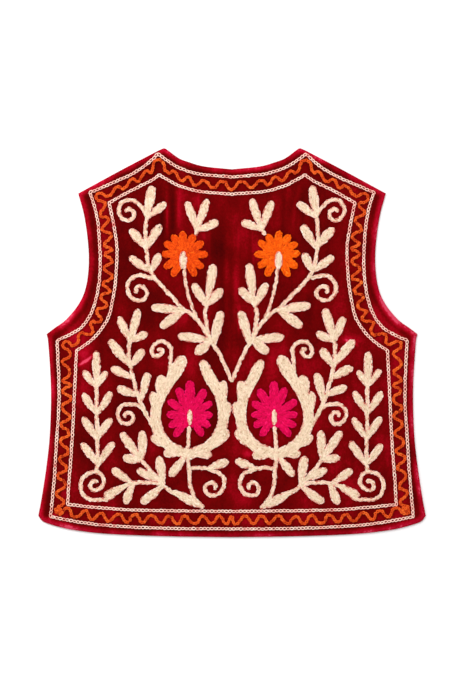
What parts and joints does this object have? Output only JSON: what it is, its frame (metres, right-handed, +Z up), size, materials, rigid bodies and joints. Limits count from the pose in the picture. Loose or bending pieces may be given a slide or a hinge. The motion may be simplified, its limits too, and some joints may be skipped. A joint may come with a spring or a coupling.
{
  "type": "embroidered folk vest",
  "caption": "Sleeveless velvet waistcoat laid flat, back uppermost, with chain-stitched vines, flowers, teardrops and a zigzag border.",
  "frame": {"origin": "under the middle of the vest, on the surface that it lies on", "axes": "+Z up through the layers, from the fronts to the back; +Y from the hem to the neck; +X to the right as the back is seen"},
  "size_m": [0.524, 0.526, 0.0087],
  "materials": {
    "velvet": "crushed crimson cotton velvet with a short lying pile",
    "chain_thread": "blush cream cotton chain stitch",
    "orange_thread": "bright orange chain stitch",
    "cream_thread": "rows of ivory cotton chain stitch",
    "pink_thread": "hot pink chain stitch"
  },
  "bodies": {
    "root": {"back": "velvet", "chain_inner": "chain_thread", "chain_outer": "chain_thread", "flower_orange_left": "orange_thread", "flower_orange_right": "orange_thread", "flower_pink_left": "pink_thread", "flower_pink_right": "pink_thread", "front_left": "velvet", "front_right": "velvet", "seed_orange_left": "cream_thread", "seed_orange_right": "cream_thread", "seed_pink_left": "cream_thread", "seed_pink_right": "cream_thread", "sprig_left": "cream_thread", "sprig_right": "cream_thread", "vine_lower_left": "cream_thread", "vine_lower_right": "cream_thread", "vine_upper_left": "cream_thread", "vine_upper_right": "cream_thread", "zigzag": "orange_thread"}
  },
  "joints": []
}
